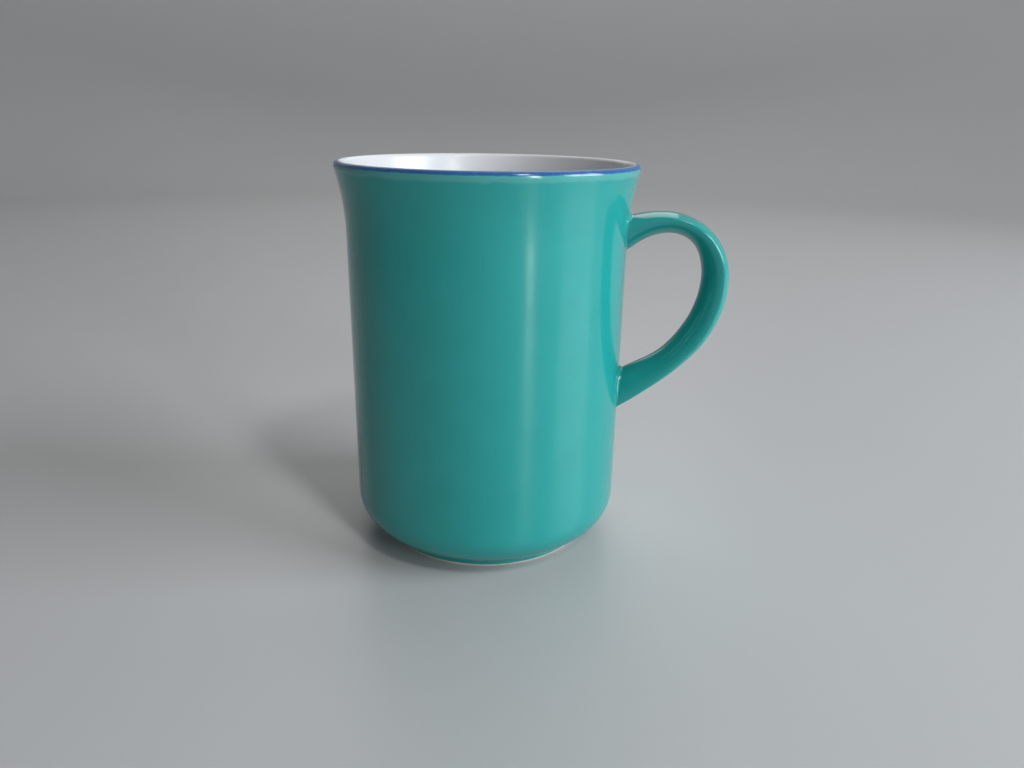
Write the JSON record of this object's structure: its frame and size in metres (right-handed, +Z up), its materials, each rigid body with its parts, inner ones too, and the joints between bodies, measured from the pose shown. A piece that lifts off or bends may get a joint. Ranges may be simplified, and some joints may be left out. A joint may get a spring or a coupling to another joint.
{
  "type": "ceramic mug",
  "caption": "Straight-sided ceramic mug with a flared lip, rounded-in base on a foot ring, and an ear-shaped strap handle.",
  "frame": {"origin": "middle of the foot ring, on the surface that the mug stands on", "axes": "+Z up along the cup's axis, handle towards +X"},
  "size_m": [0.1052, 0.0804, 0.105],
  "materials": {
    "fired_clay": "matt bare clay",
    "fired_slip": "matt bare clay",
    "teal_glaze": "glossy teal glaze",
    "cobalt_glaze": "glossy cobalt line",
    "white_glaze": "glossy white glaze"
  },
  "bodies": {
    "root": {"cup_body": "fired_clay", "handle_core": "fired_clay", "upper_slip_joint": "fired_slip", "lower_slip_joint": "fired_slip", "outer_glaze": "teal_glaze", "handle_glaze": "teal_glaze", "rim_line": "cobalt_glaze", "inner_glaze": "white_glaze", "underside_glaze": "teal_glaze"}
  },
  "joints": []
}
